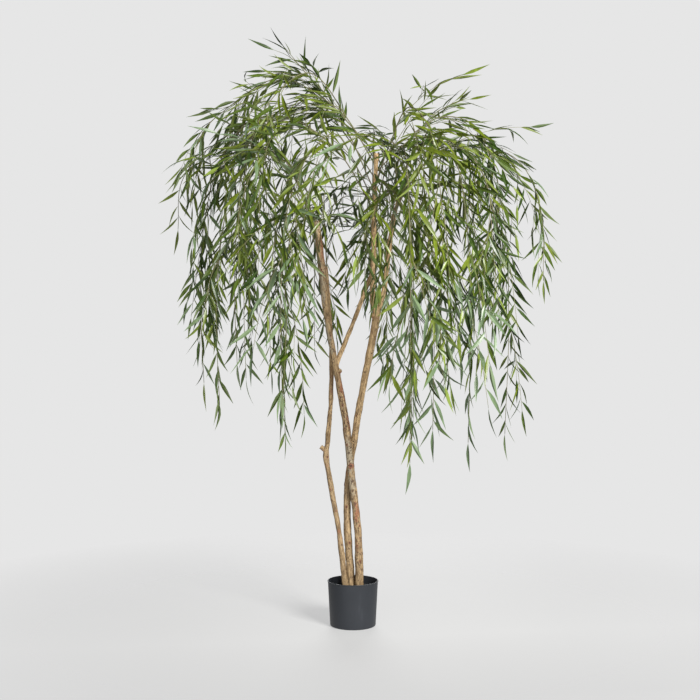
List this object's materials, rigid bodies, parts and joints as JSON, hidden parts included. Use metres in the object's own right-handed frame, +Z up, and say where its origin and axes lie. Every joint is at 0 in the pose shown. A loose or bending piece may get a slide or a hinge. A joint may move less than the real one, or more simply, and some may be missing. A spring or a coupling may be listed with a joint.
{
  "type": "artificial potted willow tree",
  "caption": "Artificial weeping willow in a plain plastic pot: natural-wood stems that cross and fork, and long arching sprays of narrow fabric leaves.",
  "frame": {"origin": "centre of the pot's flat underside", "axes": "+Z up the stems, +X to the viewer's right and -Y to the viewer, seen from the front"},
  "size_m": [1.7191, 1.3627, 2.4502],
  "materials": {
    "plastic": "moulded dark slate-grey plastic with a soft sheen",
    "fill": "set black filling, matt and slightly rough",
    "wood": "natural dry wood, light tan with greyer bark patches and knots",
    "leaf": "printed fabric leaves in mid green, olive and blue-green on thin coated twigs"
  },
  "bodies": {
    "root": {"pot": "plastic", "pot_fill": "fill", "stem_right": "wood", "stem_middle": "wood", "stem_left": "wood", "bough_centre": "wood", "bough_right": "wood", "foliage_left_outer": "leaf", "foliage_left_near": "leaf", "foliage_left_back": "leaf", "foliage_left_front": "leaf", "foliage_front_left": "leaf", "foliage_front_thin": "leaf", "foliage_back_low": "leaf", "foliage_back_left": "leaf", "foliage_top_left": "leaf", "foliage_top_right": "leaf", "foliage_high_left_front": "leaf", "foliage_right_outer": "leaf", "foliage_high_left_back": "leaf", "foliage_high_front": "leaf", "foliage_high_left": "leaf", "foliage_high_back": "leaf", "foliage_high_front_left": "leaf", "foliage_far_left": "leaf", "foliage_front": "leaf", "foliage_front_middle": "leaf", "foliage_far_right": "leaf", "foliage_back_right": "leaf", "foliage_right": "leaf", "foliage_right_back": "leaf", "foliage_right_front": "leaf", "foliage_front_right": "leaf", "foliage_right_near": "leaf", "foliage_front_near": "leaf", "foliage_back_middle": "leaf"}
  },
  "joints": []
}
